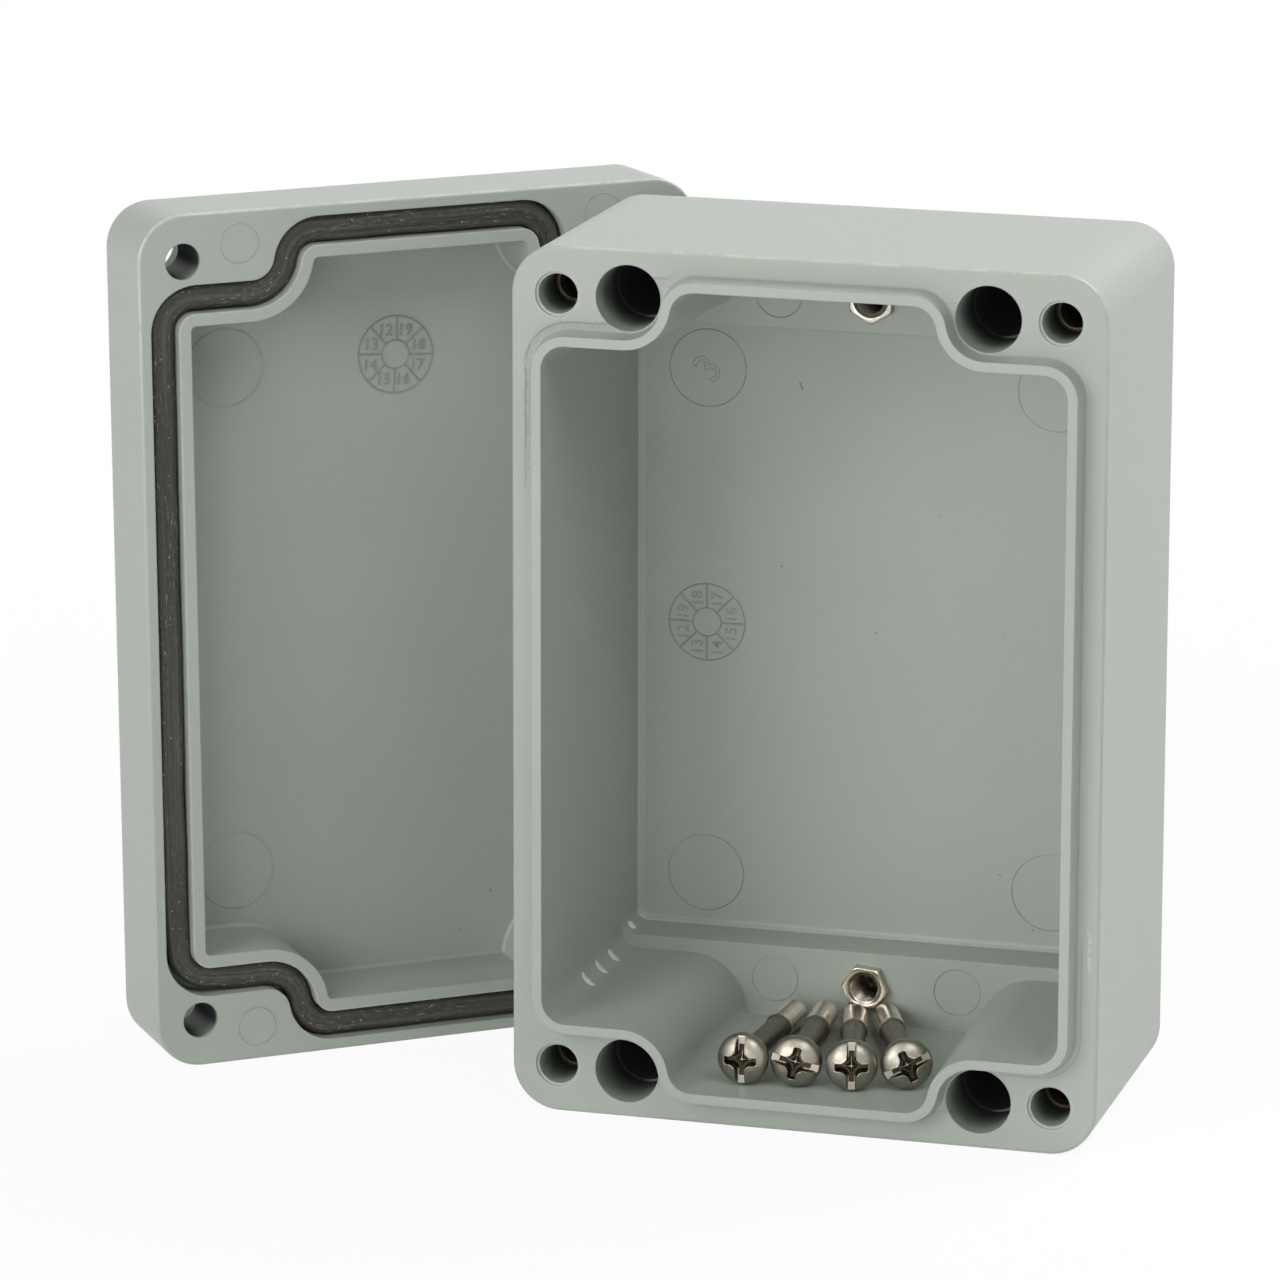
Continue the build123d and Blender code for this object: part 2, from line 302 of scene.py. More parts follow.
def gasket_surface():
    """Rubber strip in the groove: a closed section carried along the outline.

    The section is (outwards g, out of the rim z): a flat seat, two upright sides and a rounded crown
    z = top - roll * |u|^5 - two shallow grooves and a mid crease, u running from -1 to 1 across. The strip
    weaves by two slow sines and leaves the outer groove wall at the lower left bends.
    """
    path, normal = outline_path()
    seat, top = -4.1, -1.05
    inner, outer = -0.5, 2.75
    middle, waist = (inner + outer) / 2, (seat + top) / 2
    u = np.concatenate([[-1.0], -np.cos(np.linspace(0.12, pi - 0.12, 25)), [1.0]])
    crown = top - 0.5 * np.abs(u) ** 5
    crown -= 0.05 * bell(u + 0.42, 0.09) + 0.07 * bell(u - 0.42, 0.09) + 0.04 * bell(u, 0.05)
    sides = [[outer, waist], [outer - 0.1, seat], [inner + 0.1, seat], [inner, waist]]
    section = np.concatenate([np.stack([middle + u * (outer - inner) / 2, crown], 1), sides])
    steps = np.linalg.norm(np.diff(path, axis=0, append=path[:1]), axis=1)
    along = np.concatenate([[0], np.cumsum(steps)[:-1]])
    length = steps.sum()
    phase = 2 * pi * along / length
    away = bell(np.linalg.norm(path + (31.0, 41.5), axis=1), 4.5)
    away += 0.7 * bell(np.linalg.norm(path + (17.0, 46.0), axis=1), 3.5)
    shift = 0.06 * np.sin(phase * 9 + 1.0) + 0.05 * np.sin(phase * 23 + 2.0) - 0.35 * away
    narrow = 0.97 - 0.1 * away
    across = np.broadcast_to(section[:, 0], (len(path), len(section)))
    growth = np.clip(middle + (across - middle) * narrow[:, None] + shift[:, None], -0.66, 2.9)
    flat = path[:, None, :] + growth[..., None] * normal[:, None, :]
    depth = section[:, 1] + 0.04 * np.sin(phase * 14)[:, None] * (section[:, 1] > -2)
    points = np.concatenate([flat, depth[..., None]], -1).reshape(-1, 3)
    return points, grid_faces(*across.shape, True), along, across, length


# Lid screws: radii, heights and lengths in millimetres, with z = 0 under the head

SCREW_HEAD = 3.25
SCREW_HEAD_HEIGHT = 2.4
SCREW_HEAD_SIDE = 0.5
SCREW_LENGTH = 23.1
SCREW_WAIST = 1.5
SCREW_END = 1.75
SCREW_END_LENGTH = 7.5
# Tip across, tip above the ledge, heading and slot angle of each loose screw
SCREW_PLACES = (
    (-8.04, 3.11, 0.8, 90.0),
    (-4.21, 2.44, -6.0, -13.0),
    (-0.27, 2.77, -13.7, 90.0),
    (3.46, 1.40, -20.7, 25.0),
)


def screw_frame(tip_x, tip_rise, heading, slot_angle):
    """Origin and axes of a screw at the underside of its head, lying against the drafted lower wall."""
    turn = radians(heading)
    nose_down = atan((SCREW_HEAD - SCREW_END) / (SCREW_LENGTH - 0.5))
    wall_rise = atan(tan(WALL_DRAFT) * cos(turn))
    dip = wall_rise - nose_down
    to_tip = np.array((sin(turn) * cos(dip), cos(turn) * cos(dip), sin(dip)))
    head_depth = LEDGE_DEPTH - tip_rise - SCREW_LENGTH * to_tip[1]
    wall = RIM_WALL + (head_depth + TONGUE_HEIGHT) * tan(WALL_DRAFT) - CASE_LENGTH / 2
    height = wall + (SCREW_HEAD + 0.03) / cos(wall_rise)
    origin = np.array((tip_x - SCREW_LENGTH * to_tip[0], head_depth - BASE_DEPTH, height))
    across = np.array((cos(turn), -sin(turn), 0.0))
    up = np.cross(-to_tip, across)
    spin = radians(slot_angle)
    x_axis = across * cos(spin) + up * sin(spin)
    y_axis = -across * sin(spin) + up * cos(spin)
    return origin, np.array((x_axis, y_axis, -to_tip))


def ease(value, low, high):
    """0 below low, 1 above high, and a smooth cubic between them."""
    share = np.clip((value - low) / (high - low), 0, 1)
    return share * share * (3 - 2 * share)


def head_height(x, y):
    """Height of the head's top, and its finish value: up to 1 for staining and painted shade in the recess,
    less on the raised star as a painted glint, 0.8 for painted shade beside the slot, and -1 for a painted
    highlight on the slot floor.

    An elliptic dome, less a slot along x, less a cross recess. The recess is a plus sign of equal arms whose
    inner corners are cut back by the curve sqrt(|x y|) = constant. It ends square, its walls lean, and its
    floor has a raised four-pointed star, top - 0.42 (sqrt|x| + sqrt|y|)^2. A thin burr follows its edge.
    """
    top = SCREW_HEAD_HEIGHT
    across = np.abs(y)
    dome = np.sqrt(np.clip(1 - (np.hypot(x, y) / SCREW_HEAD) ** 2, 0, 1))
    dome = SCREW_HEAD_SIDE + (top - SCREW_HEAD_SIDE) * dome
    slot = top - 1.25 + 9.0 * np.clip(across - 0.47, 0, None)
    span = np.maximum(np.abs(x), across)
    arm = np.minimum(np.abs(x), across) - 0.3
    corner = np.sqrt(np.abs(x) * across) - 0.6
    beyond = np.minimum(arm, corner)
    floor = top - 1.75 + 0.06 * span
    star = top - 1.15 - 0.42 * (np.sqrt(np.abs(x)) + np.sqrt(across)) ** 2
    cross = np.maximum(floor, star) + 7.0 * np.clip(beyond, 0, None) + 10.0 * np.clip(span - 1.95, 0, None)
    burr = 0.07 * bell(beyond - 0.27, 0.06) * ease(2.3 - span, 0, 0.2) * ease(across, 0.5, 0.62)
    height = np.minimum(np.minimum(dome + burr, slot), cross)
    # Staining and painted shade in the recess, lifted on the raised star as a painted glint
    stain_and_shade = ease(np.minimum(dome, slot) - cross, 0.05, 0.35)
    stain_and_shade = stain_and_shade * (1 - 0.8 * ease(star - floor, 0.0, 0.2))
    cut = ease(dome - slot, 0.0, 0.12)
    # Painted shade along both sides of the slot, and a painted highlight on the slot floor
    beside = ease(0.13 - np.abs(across - 0.53), 0.0, 0.07)
    beside = beside * ease(dome - (top - 1.25), 0.1, 0.5)
    painted_slot_highlight = ease(0.46 - across, 0.0, 0.08) * cut * (1 - ease(stain_and_shade, 0.0, 0.1))
    return height, np.maximum(stain_and_shade, 0.8 * beside) - painted_slot_highlight


def screw_surface(end_lines, up_angle):
    """One screw about its own axis, head up: a head of straight rows cut from a disc, and a turned shank.

    Row y of the head has its points at x = chord(y) * share, outside a middle strip with straight columns.
    The shank is r(z) on the angles of the head's edge points, with fine helical lines at the start of the end
    cylinder, and closes in a point at the tip's centre. The shank's finish values are painted reflections:
    lengthwise bright and dark bands, sums of cosines of the angle from the side that lies up, and a painted
    highlight ring at the start of the end cylinder.
    """
    strip = 2.2
    features = (0.25, 0.3, 0.36, 0.42, 0.47, 0.52, 0.57, 0.64, 1.95, 2.02, 2.1)
    inner_x = np.unique(np.concatenate([np.linspace(0, strip, 31), features]))
    inner_x = inner_x[np.concatenate([[True], np.diff(inner_x) > 0.018])]
    beyond = SCREW_HEAD * np.sin(np.linspace(asin(strip / SCREW_HEAD), pi / 2, 14))[1:-1]
    y_half = np.concatenate([inner_x, beyond])
    rows_y = np.concatenate([-y_half[::-1][:-1], y_half])
    share = 1 - (1 - np.linspace(0, 1, 11)[1:]) ** 1.7
    chord = np.sqrt(SCREW_HEAD**2 - rows_y**2)
    edge = np.where(np.abs(rows_y) <= strip, strip, strip * chord / sqrt(SCREW_HEAD**2 - strip**2))
    inner = inner_x[None, :] * (edge / strip)[:, None]
    outer = edge[:, None] + share[None, :] * (chord - edge)[:, None]
    right = np.concatenate([inner, outer], 1)
    x = np.concatenate([-right[:, ::-1], right[:, 1:]], 1)
    y = np.broadcast_to(rows_y[:, None], x.shape)
    z, stain_and_shade = head_height(x, y)
    rows, columns = x.shape
    head = np.stack([x, y, z], -1).reshape(-1, 3)
    top, bottom = len(head), len(head) + 1
    poles = ((0, SCREW_HEAD, SCREW_HEAD_SIDE), (0, -SCREW_HEAD, SCREW_HEAD_SIDE))
    column = np.arange(columns - 1)
    last = (rows - 1) * columns + column
    left_edge = np.arange(rows) * columns
    rim = np.concatenate([[bottom], left_edge + columns - 1, [top], left_edge[::-1]])
    vertices = np.concatenate([head, poles])
    angle = np.arctan2(vertices[rim, 1], vertices[rim, 0])
    under, waist, end, tip = SCREW_HEAD, SCREW_WAIST, SCREW_END, -SCREW_LENGTH
    start = tip + SCREW_END_LENGTH
    profile = [(under, 0.25), (under, 0.12), (under - 0.15, 0.0), (2.3, 0.0), (1.8, -0.05)]
    profile += [(waist + 0.05, -0.45)] + [(waist, -1.0 - 0.9 * k) for k in range(15)]
    profile += [(waist, start + 0.3), (waist + 0.06, start + 0.08), (end - 0.03, start), (end, start - 0.08)]
    profile += [(end, start - 0.35 - 0.11 * k) for k in range(24)]
    profile += [(end, start - 4.0), (end, start - 5.5), (end, tip + 0.45), (end - 0.07, tip + 0.22)]
    profile += [(end - 0.33, tip + 0.02), (end - 0.45, tip), (0.7, tip)]
    r, z = np.hsplit(np.array(profile), 2)
    worn = ease(z, start - 3.0, start - 0.6) * (z < start - 0.2) * (np.abs(r - end) < 1e-6)
    r = r - end_lines * worn * (0.5 + 0.5 * np.cos(2 * pi * (z / 0.33) - angle))
    shank = polar(r, angle, z)
    first, count = len(vertices), len(rim)
    turn = np.arange(count)
    collar = np.stack([rim, first + turn, first + (turn + 1) % count, np.roll(rim, -1)], 1)
    turned = grid_faces(len(profile), count, start=first)[:, ::-1]
    end_row = first + (len(profile) - 1) * count
    groups = (
        grid_faces(rows, columns, False, False), fan(last, last + 1, top), fan(column + 1, column, bottom),
        collar, turned, fan(end_row + (turn + 1) % count, end_row + turn, first + len(shank)),
    )
    vertices = np.concatenate([vertices, shank, [[0, 0, tip]]])
    # Finish value a vertex: the head's staining, painted shade and painted highlight, and the shank's painted
    # reflection bands and painted highlight ring
    depth = np.zeros(len(vertices))
    depth[: len(head)] = stain_and_shade.reshape(-1)
    # Painted reflection: lengthwise bright and dark bands, turned with the side that lies up
    around = np.arctan2(vertices[first:, 1], vertices[first:, 0]) - up_angle
    bands = 0.5 * np.cos(5 * around + 0.9) + 0.4 * np.cos(2 * around - 1.2) + 0.15 * np.cos(13 * around)
    depth[first:] = 1.3 * bands - 0.2 - 0.5 * bell(vertices[first:, 2] - start + 0.2, 0.12)
    middle = np.concatenate([vertices[group, 2].mean(1) for group in groups])
    finish = np.where(middle > -0.5, 0, np.where(middle > start, 1, 2))
    return vertices, [face for group in groups for face in group.tolist()], depth, finish


# Plate inserts: width over flats, depth below the rim, and place across and along the case

INSERT_FLATS = 5.4
INSERT_TOP_DEPTH = 28.6
INSERT_X = 0.5
INSERT_Y = 44.6


def insert_surface(turn):
    """Hexagonal insert about its axis, top at z = 0.

    r runs from a hexagon r = half flats / cos(angle) outside to circles in the bore, whose wall is a helical
    thread, r = core + depth * a smooth triangle wave of z / pitch - angle / turn. A cone closes it.
    """
    count = 144
    pitch, core, thread_depth = 0.7, 1.66, 0.34
    angle = np.linspace(0, 2 * pi, count, endpoint=False)
    wedge = np.mod(angle - radians(turn), pi / 3) - pi / 6
    hexagon = INSERT_FLATS / 2 / np.cos(wedge)
    rows = [(0.2, -7.9)] + [(hexagon, z) for z in (-7.9, -1.3, -0.6, -0.3)]
    crown = np.minimum(hexagon, 2.93)
    rows += [(np.minimum(hexagon, 3.0), -0.14), (crown - 0.06, -0.02), (crown - 0.14, 0.0)]
    rows += [(crown * 0.5 + 1.16, 0.0), (2.32, 0.0), (2.24, -0.02), (2.05, -0.2)]
    for z in np.arange(-0.3, -6.0, -pitch / 9):
        wave = np.abs(((z / pitch - angle / (2 * pi)) % 1.0) * 2 - 1)
        rows.append((core + thread_depth * ease(wave, 0.1, 0.9), z))
    rows += [(core, -6.1), (1.6, -6.7), (0.5, -7.2)]
    points = np.concatenate([polar(r, angle, z) for r, z in rows])
    faces = grid_faces(len(rows), count)[:, ::-1].tolist()
    bottom, pit = len(points), len(points) + 1
    points = np.concatenate([points, [[0, 0, -7.9], [0, 0, -7.45]]])
    last = (len(rows) - 1) * count
    faces += [[bottom, k, (k + 1) % count] for k in range(count)]
    faces += [[last + (k + 1) % count, last + k, pit] for k in range(count)]
    reach = np.hypot(points[:, 0], points[:, 1])
    # Painted shade in the threaded bore, darker with depth
    bore = (reach < 2.3) * (0.35 + 0.65 * ease(-points[:, 2], 0.5, 5.0))
    return points, [face[::-1] for face in faces], bore * (points[:, 2] > -7.5)


# Finishes


class Shader:
    """Small helper that adds nodes to the tree of one material or world and joins them."""

    def __init__(self, owner):
        owner.use_nodes = True
        self.owner = owner
        self.tree = owner.node_tree

    def node(self, kind, inputs=(), **settings):
        """Adds a node; inputs is a dict of socket to value or to another node's output."""
        made = self.tree.nodes.new(kind)
        for key, value in settings.items():
            setattr(made, key, value)
        for key, value in dict(inputs).items():
            self.put(made.inputs[key], value)
        return made

    def put(self, socket, value):
        """Links an output to the socket, or sets its own value; None leaves it as it is."""
        if isinstance(value, bpy.types.NodeSocket):
            self.tree.links.new(value, socket)
        elif value is not None:
            socket.default_value = value

    def place(self, rim):
        """Object coordinates in millimetres, turned into a rim's frame."""
        origin, axes = rim
        return self.node("ShaderNodeMapping", {
            "Vector": self.node("ShaderNodeTexCoord").outputs["Object"],
            "Location": tuple(axes @ -origin),
            "Rotation": tuple(Matrix(axes.tolist()).to_euler()),
            "Scale": (1 / MM, 1 / MM, 1 / MM),
        }).outputs[0]

    def parts(self, a):
        """x, y and z of a vector."""
        return self.node("ShaderNodeSeparateXYZ", {"Vector": a}).outputs

    def noise(self, where, scale, detail=2.0, roughness=0.5, stretch=None):
        """Noise between 0 and 1, its scale in cells per millimetre; stretch scales the axes first."""
        if stretch is not None:
            where = self.node("ShaderNodeMapping", {"Vector": where, "Scale": stretch}).outputs[0]
        inputs = {"Vector": where, "Scale": scale, "Detail": detail, "Roughness": roughness}
        return self.node("ShaderNodeTexNoise", inputs).outputs["Fac"]

    def specks(self, where, scale, size, core, share, sure):
        """Round specks: 1 inside the core and 0 past the size, in cells, where a cell's draw passes share."""
        cells = self.node("ShaderNodeTexVoronoi", {"Vector": where, "Scale": scale})
        pick = self.node("ShaderNodeSeparateColor", {"Color": cells.outputs["Color"]}).outputs[0]
        return self.product(self.span(cells.outputs["Distance"], size, core), self.span(pick, share, sure))

    def span(self, value, low, high, bottom=0.0, top=1.0, smooth=True):
        """Value carried from low..high to bottom..top, and held outside it."""
        inputs = {"Value": value, "From Min": low, "From Max": high, "To Min": bottom, "To Max": top}
        kind = "SMOOTHSTEP" if smooth else "LINEAR"
        return self.node("ShaderNodeMapRange", inputs, interpolation_type=kind).outputs[0]

    def band(self, value, start, full, last, end):
        """1 from full to last, and falling to 0 at start and at end."""
        return self.product(self.span(value, start, full), self.span(value, end, last))

    def near(self, value, middle, size, core):
        """1 within core of the middle, and falling to 0 at size from it."""
        return self.span(self.math("ABSOLUTE", self.math("SUBTRACT", value, middle)), size, core)

    def math(self, operation, first, *others):
        """One arithmetic step from value to value."""
        for other in others or (0.0,):
            first = self.node("ShaderNodeMath", {0: first, 1: other}, operation=operation).outputs[0]
        return first

    def product(self, *values):
        """Product of several values."""
        return self.math("MULTIPLY", *values)

    def vector(self, operation, a, b=(0.0, 0.0, 0.0)):
        """One step on two vectors."""
        return self.node("ShaderNodeVectorMath", {0: a, 1: b}, operation=operation).outputs[0]

    def dot(self, a, b):
        """Scalar product of two vectors."""
        return self.node("ShaderNodeVectorMath", {0: a, 1: b}, operation="DOT_PRODUCT").outputs["Value"]

    def length(self, a):
        """Length of a vector."""
        return self.node("ShaderNodeVectorMath", {0: a}, operation="LENGTH").outputs["Value"]

    def blend(self, share, a, b):
        """Colour a turned towards colour b by share."""
        return self.node("ShaderNodeMix", {0: share, 6: a, 7: b}, data_type="RGBA").outputs[2]

    def coat(self, colour, *coats):
        """Colour under coats, each with its share, a property colour and its shade."""
        for share, tint, shade in coats:
            colour = self.blend(share, colour, rgba(tint, shade))
        return colour

    def softened(self, radius):
        """Normal that rounds edges over, by a radius in millimetres."""
        return self.node("ShaderNodeBevel", {"Radius": radius * MM}, samples=4).outputs[0]

    def bump(self, height, strength, distance, normal=None):
        """Normal bent by a height between 0 and 1 over a distance in millimetres."""
        inputs = {"Strength": strength, "Distance": distance * MM, "Height": height, "Normal": normal}
        return self.node("ShaderNodeBump", inputs).outputs[0]

    def finish(self, colour, roughness, normal=None, **values):
        """Feeds the surface shader and returns the material."""
        surface = self.tree.nodes["Principled BSDF"]
        for key, value in {"Base Color": colour, "Roughness": roughness, "Normal": normal, **values}.items():
            self.put(surface.inputs[key], value)
        return self.owner

    def show(self, lit, plain, output, share=1.0):
        """Feeds the output with lit, but by share with plain where the camera, a glossy or a clear surface
        sees it."""
        rays = self.node("ShaderNodeLightPath").outputs
        kinds = ("Is Camera Ray", "Is Glossy Ray", "Is Transmission Ray")
        seen = self.math("MAXIMUM", *(rays[kind] for kind in kinds))
        mixed = self.node("ShaderNodeMixShader", {0: self.product(seen, share), 1: lit, 2: plain})
        self.put(self.tree.nodes[output].inputs["Surface"], mixed.outputs[0])


def new_material(name, rim=ROW_FRAME):
    """Helper of a new material, and its object coordinates in a rim's frame."""
    s = Shader(bpy.data.materials.new(name))
    return s, s.place(rim)


def rgba(colour, shade=1.0):
    """Property colour as four numbers, scaled by shade."""
    return tuple(min(1.0, channel * shade) for channel in colour) + (1.0,)


def growth_field(s, where):
    """Distance outwards from the shared outline, worked out from the outline's own rectangles and arcs.

    Folded into one quarter, the inside is two rounded rectangles and the block between them, less the boss
    circle. The function for a rounded rectangle is returned as well.
    """
    folded = s.vector("MULTIPLY", s.vector("ABSOLUTE", where), (1, 1, 0))

    def rounded(across, along, corner):
        out = s.vector("MAXIMUM", s.vector("SUBTRACT", folded, (across - corner, along - corner, 0)))
        return s.math("SUBTRACT", s.length(out), corner)

    wide = rounded(OUTLINE_SIDE, OUTLINE_SHELF, OUTLINE_CORNER)
    tall = rounded(BOSS_X - ARC_REACH + OUTLINE_CORNER, OUTLINE_END, OUTLINE_CORNER)
    block = rounded(BOSS_X, BOSS_Y, OUTLINE_CORNER)
    inside = s.math("MINIMUM", wide, tall, block)
    to_boss = s.length(s.vector("SUBTRACT", folded, (BOSS_X, BOSS_Y, 0)))
    return s.math("MAXIMUM", inside, s.math("SUBTRACT", BOSS_RADIUS, to_boss)), rounded


def from_nearest(s, where, place):
    """Vector in the rim's plane from the nearest of the four points at plus or minus that place."""
    flat = s.vector("MULTIPLY", where, (1, 1, 0))
    return s.vector("SUBTRACT", flat, s.vector("MULTIPLY", s.vector("SIGN", flat), (*place, 0)))


def painted_bore_shade(s, z, bore, hole):
    """Painted shade in the base's bores and screw holes: more with depth, less at a painted glint on the
    bores' step.
    """
    reach = s.length(bore)
    in_bore = s.product(s.span(reach, BORE_RADIUS + 0.3, BORE_RADIUS + 0.15), s.span(z, -0.8, -9))
    in_hole = s.product(s.span(s.length(hole), HOLE_RADIUS + 0.5, HOLE_RADIUS + 0.4), s.span(z, -0.8, -8))
    # Painted glint: a paler arc on the lower right of the bores' step
    lit_side = s.span(s.dot(bore, (0.6, -0.8, 0)), 2.6, 3.9)
    glint = s.product(in_bore, lit_side, s.near(z, -BORE_STEP, 0.25, 0.08), 0.5)
    in_bore = s.math("SUBTRACT", in_bore, glint)
    inside = s.span(z, 0.1 - BASE_DEPTH, 0.3 - BASE_DEPTH)
    return s.product(s.math("MAXIMUM", in_bore, in_hole), inside, 0.93)


def tongue_marks(s, finish, colour, where, growth, grain, on_rim):
    """Marks on the rim beside the base's tongue.

    A smeared scuff with a dark line and pale nicks goes round the upper left corner. A pale scrape is near
    the right edge, a dark root line goes all round, and a drag line is at the lower right.
    """
    x, y, _ = s.parts(where)
    wander = s.noise(where, 0.2, 2, 0.5)
    off = s.math("ADD", growth, s.span(wander, 0.3, 0.7, -0.16, 0.16, False))
    corner = s.product(s.span(x, -15, -20), s.span(y, 16, 34), on_rim)
    smear = s.product(s.band(off, 1.85, 2.1, 2.6, 3.1), corner, s.span(grain, 0.4, 0.6, 0.15, 1), 0.5)
    line = s.product(s.band(off, 2.5, 2.6, 2.66, 2.85), corner, s.span(wander, 0.42, 0.5, 0.15, 1), 0.6)
    nick = s.product(s.span(grain, 0.6, 0.7), smear, 1.4)
    aside = s.math("ADD", x, s.span(wander, 0.3, 0.7, -0.3, 0.3, False))
    stretch = s.band(y, -33, -30, -28, -24)
    scrape = s.product(s.near(aside, 36, 0.3, 0.1), stretch, s.span(grain, 0.4, 0.58), on_rim, 0.5)
    root = s.product(s.band(growth, 1.6, 1.68, 1.7, 1.95), on_rim, 0.22)
    drag = s.product(s.band(growth, 2.2, 2.27, 2.34, 2.42), s.span(x, 25, 27), s.span(y, -26, -30))
    drag = s.product(drag, on_rim, 0.35)
    dark, pale = finish.scuff, finish.rubbed_edge
    return s.coat(
        colour, (smear, dark, 1.4), (line, dark, 1), (nick, pale, 0.9), (scrape, pale, 1), (root, dark, 1),
        (drag, dark, 1))


def polyester(name, finish, rim, is_base):
    """Moulded glass-filled polyester: fine mottling, scattered specks, and pale edges where it is rubbed.

    Holes are painted dark inside as shade, more with depth, with a painted glint on the base's bore steps,
    and lighter towards the lower right in the lid. The base has pale rings round its screw holes, a painted
    highlight line along the floor's fillet at the foot of its walls, and the marks beside its tongue, the lid
    a pale line at the inner edge of its groove.
    """
    s, where = new_material(name, rim)
    x, y, z = s.parts(where)
    cloud = s.span(s.noise(where, 0.038, 3, 0.55), 0.3, 0.7, smooth=False)
    colour = s.blend(cloud, rgba(finish.polyester, 0.975), rgba(finish.polyester, 1.025))
    grain = s.noise(where, 2.2, 3, 0.7)
    mottle = s.span(grain, 0.32, 0.68, 0, 0.22, False)
    speck = s.product(s.specks(where, 0.24, 0.045, 0.02, 0.86, 0.87), 0.7)
    colour = s.coat(colour, (mottle, finish.polyester, 0.9), (speck, finish.speck, 1))

    growth, rounded = growth_field(s, where)
    near_rim = s.span(z, -0.5, -0.3)
    edge = s.span(rounded(CASE_WIDTH / 2, CASE_LENGTH / 2, CASE_CORNER), -0.3, -0.14)
    broken = s.span(s.noise(where, 0.26, 4, 0.75), 0.36, 0.56, 0.25, 1)
    rub = s.product(near_rim, edge, broken, s.span(y, 20, 53, 0.1, 0.5))
    hole = from_nearest(s, where, HOLE_PLACE)
    if is_base:
        on_rim = s.product(near_rim, s.span(z, 0.3, 0.1))
        rub = s.product(rub, s.span(x, -33, -28))
        ring = s.product(s.band(s.length(hole), 2.35, 2.5, 2.85, 3.05), on_rim, 0.55)
        bore = from_nearest(s, where, BORE_PLACE)
        # Painted shade deep in the base's bores and screw holes
        dark = painted_bore_shade(s, z, bore, hole)
        colour = s.coat(colour, (ring, finish.polyester, 1.45), (dark, finish.bore, 1))
        colour = tongue_marks(s, finish, colour, where, growth, grain, on_rim)
        # Painted highlight: a pale line along the floor's fillet at the foot of the walls, except at the
        # bores
        off_bore = s.span(s.length(bore), BORE_RADIUS + 0.3, BORE_RADIUS + 0.5)
        foot = s.product(s.near(z, 0.4 - BASE_FLOOR, 0.18, 0.06), s.span(growth, 0, -0.6), off_bore, 0.35)
        colour = s.blend(foot, colour, rgba(finish.polyester, 1.9))
    else:
        # Painted shade inside the lid's holes, lighter towards the lower right
        shade = s.span(s.dot(hole, (0.5, -0.86, 0)), 1.5, 2.4, 1, 0.5)
        in_hole = s.span(s.length(hole), HOLE_RADIUS, HOLE_RADIUS - 0.1)
        dark = s.product(in_hole, s.span(z, -0.1, -1.1), shade, 0.97)
        colour = s.blend(dark, colour, rgba(finish.bore))
        lip = s.product(s.band(growth, -1, -0.78, -0.7, -0.62), near_rim, broken, 0.3)
        rub = s.math("ADD", rub, lip)
    colour = s.blend(rub, colour, rgba(finish.rubbed_edge))
    rough = s.math("MAXIMUM", s.span(cloud, 0, 1, 0.4, 0.44, False), dark)
    normal = s.bump(s.noise(where, 3.6, 1, 0.6), 0.07, 0.03, s.softened(0.22))
    return s.finish(colour, rough, normal, IOR=1.5)


def moulded_line(name, finish, shade, wear):
    """Polyester of the moulded marks, a shade off the wall that they stand on, and worn away in places. On
    the rings and dials a darker shade partly paints the shadow along the lines; on the corner ridges a
    brighter shade is a painted highlight.
    """
    s, where = new_material(name)
    cloud = s.span(s.noise(where, 0.9, 3, 0.6), 0.3, 0.7)
    colour = s.blend(cloud, rgba(finish.polyester, shade * 0.9), rgba(finish.polyester, shade * 1.06))
    worn = s.span(s.noise(where, 0.13, 2, 0.5), 0.44, 0.6, 0, wear)
    colour = s.blend(worn, colour, rgba(finish.polyester, 1.05))
    return s.finish(colour, s.span(cloud, 0, 1, 0.4, 0.5, False))


def rubber(name, finish):
    """Extruded rubber: dark, with pale bands, fine broken dusty lines and dust specks. Bands and lines run
    lengthwise, on its own UV map."""
    s, where = new_material(name)
    uv = s.node("ShaderNodeUVMap", uv_map="strip").outputs[0]
    lines = s.noise(uv, 1, 5, 0.75, stretch=(0.9, 3.6, 1))
    colour = s.blend(s.span(lines, 0.42, 0.72), rgba(finish.rubber, 0.75), rgba(finish.rubber, 2.2))
    pale = s.span(s.noise(uv, 1, 2, 0.5, stretch=(0.02, 1.5, 1)), 0.45, 0.6, 0, 0.45)
    colour = s.blend(pale, colour, rgba(finish.rubber, 3))
    hair = s.span(s.noise(uv, 1, 3, 0.6, stretch=(0.7, 4.4, 1)), 0.57, 0.66)
    patch = s.span(s.noise(uv, 1, 2, 0.5, stretch=(0.08, 0.5, 1)), 0.42, 0.6)
    grit = s.span(s.noise(where, 3, 3, 0.7), 0.42, 0.62, 0.3, 1)
    colour = s.blend(s.product(hair, patch, grit, 0.9), colour, rgba(finish.dust))
    for scale, size, share in ((0.52, 0.09, 0.86), (1.3, 0.2, 0.76)):
        speck = s.specks(where, scale, size, size / 2, share, share + 0.1)
        colour = s.blend(s.product(speck, 0.8), colour, rgba(finish.dust))
    return s.finish(colour, s.span(lines, 0.3, 0.7, 0.42, 0.62), s.bump(lines, 0.6, 0.06))


